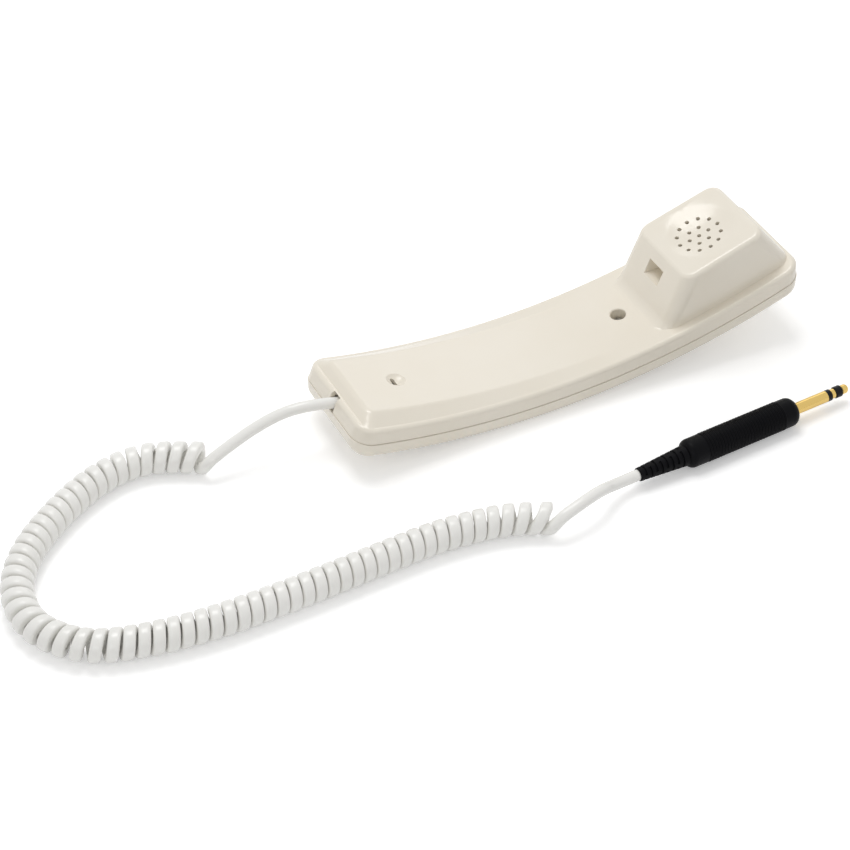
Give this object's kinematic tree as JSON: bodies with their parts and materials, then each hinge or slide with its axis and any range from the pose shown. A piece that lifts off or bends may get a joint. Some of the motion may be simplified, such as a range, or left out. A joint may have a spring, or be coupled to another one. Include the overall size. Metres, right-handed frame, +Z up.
{
  "type": "telephone handset",
  "caption": "Curved telephone handset with an earpiece block, a microphone slot, a hanger pocket and a curly cord that ends in a straight audio plug.",
  "frame": {"origin": "middle of the handset's length and width, on the surface that its back rests on", "axes": "+X from the cord end to the earpiece, +Z up through the face that is held to the head"},
  "size_m": [0.3801, 0.1251, 0.0577],
  "materials": {
    "shell": "moulded, glossy ivory",
    "cord": "extruded, satin white",
    "plug_body": "moulded, satin black",
    "plug_metal": "turned, polished",
    "insulator": "moulded, black",
    "steel": "zinc plated",
    "weight_steel": "cold drawn",
    "insert_brass": "turned",
    "soft_rubber": "moulded, matt",
    "capsule_plastic": "moulded, matt",
    "film": "formed film",
    "copper": "wound copper",
    "magnet": "plated",
    "capsule_metal": "drawn, satin",
    "board": "coated laminate",
    "block": "moulded, matt",
    "chip": "moulded, matt",
    "wire": "extruded, satin",
    "clamp_plastic": "moulded, matt"
  },
  "bodies": {
    "root": {"front_shell": "shell", "rear_cover": "shell", "case_screw": "steel", "case_insert": "insert_brass", "receiver_gasket": "soft_rubber", "receiver_case": "capsule_plastic", "receiver_diaphragm": "film", "receiver_coil": "copper", "receiver_pole": "weight_steel", "receiver_magnet": "magnet", "receiver_yoke": "weight_steel", "receiver_terminals": "insert_brass", "receiver_retainer": "clamp_plastic", "retainer_screws": "steel", "mic_boot": "soft_rubber", "mic_capsule": "capsule_metal", "circuit_board": "board", "board_screws": "steel", "terminal_block": "block", "terminal_screws": "steel", "board_capacitor": "chip", "board_chips": "chip", "balance_weight": "weight_steel", "weight_screws": "steel", "cord_collar": "cord", "cord_clamp": "clamp_plastic", "clamp_screws": "steel", "cord_conductors": "wire", "mic_wires": "wire", "receiver_wires": "wire", "cord_tail": "cord", "cord_coil": "cord", "cord_lead": "cord", "plug_relief": "plug_body", "plug_barrel": "plug_body", "plug_core": "insulator", "plug_sleeve": "plug_metal", "plug_rear_insulator": "insulator", "plug_ring": "plug_metal", "plug_front_insulator": "insulator", "plug_tip": "plug_metal"}
  },
  "joints": []
}
